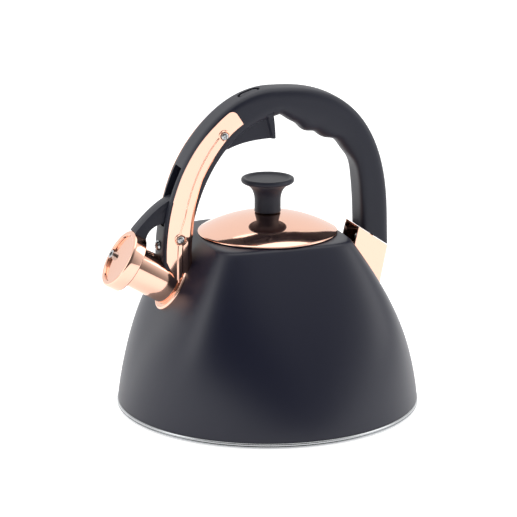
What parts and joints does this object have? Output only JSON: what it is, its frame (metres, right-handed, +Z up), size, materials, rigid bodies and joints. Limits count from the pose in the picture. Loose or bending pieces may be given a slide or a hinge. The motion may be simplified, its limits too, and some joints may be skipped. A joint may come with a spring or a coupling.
{
  "type": "whistling kettle",
  "caption": "Stovetop whistling kettle: square-shouldered body, arch handle, tilted spout whose whistle cap a thumb button opens, and a lift-off domed lid.",
  "frame": {"origin": "centre of the flat underside of the base, on the body's axis, where the kettle stands on a hob", "axes": "+Z up along the body's axis, -X towards the spout, with the handle's arch in the XZ plane"},
  "size_m": [0.2368, 0.224, 0.2371],
  "materials": {
    "navy_paint": "satin navy enamel paint over steel",
    "navy_plastic": "soft-touch navy plastic",
    "rose_gold_plate": "polished rose gold plate",
    "stainless_steel": "brushed stainless steel",
    "aluminium": "plain aluminium"
  },
  "bodies": {
    "kettle": {"body_shell": "navy_paint", "handle_shell": "navy_plastic", "handle_grip_cover": "navy_plastic", "lever_cover": "navy_plastic", "spout_tube": "rose_gold_plate", "spout_flange": "rose_gold_plate", "front_bracket": "rose_gold_plate", "rear_bracket": "rose_gold_plate", "base_cap": "stainless_steel", "bottom_pan": "stainless_steel", "thumb_lever_pin": "stainless_steel", "thumb_lever_spring": "stainless_steel", "spout_lever_pin": "stainless_steel", "bracket_screw_upper_left": "stainless_steel", "bracket_screw_upper_right": "stainless_steel", "bracket_screw_lower_left": "stainless_steel", "bracket_screw_lower_right": "stainless_steel", "lever_cover_screw": "stainless_steel", "grip_screw_front": "stainless_steel", "grip_screw_rear": "stainless_steel", "rear_bracket_screw": "stainless_steel", "heat_plate": "aluminium"},
    "thumb_lever": {"thumb_lever": "navy_plastic", "thumb_button": "navy_plastic"},
    "spout_lever": {"spout_lever": "navy_plastic", "whistle_cap": "rose_gold_plate", "whistle_plate_outer": "rose_gold_plate", "whistle_plate_inner": "rose_gold_plate"},
    "lid": {"lid_cover": "rose_gold_plate", "lid_skirt": "stainless_steel", "lid_knob": "navy_plastic", "knob_screw": "stainless_steel", "knob_washer": "stainless_steel"}
  },
  "joints": [
    {"name": "thumb_press", "type": "hinge", "parent": "kettle", "child": "thumb_lever", "pos_m": [0.01835, 0, 0.22577], "axis": [0, -1, 0], "range_deg": [0, 3.5], "stiffness_Nm_per_rad": 2},
    {"name": "spout_open", "type": "hinge", "parent": "kettle", "child": "spout_lever", "pos_m": [-0.072, 0, 0.157], "axis": [0, 1, 0], "range_deg": [0, 31.5]},
    {"name": "lid_lift", "type": "slide", "parent": "kettle", "child": "lid", "axis": [0, 0, 1], "range_m": [0, 0.018]}
  ],
  "couplings": [
    {"joint": "spout_open", "follows": "thumb_press", "ratio": 9}
  ]
}
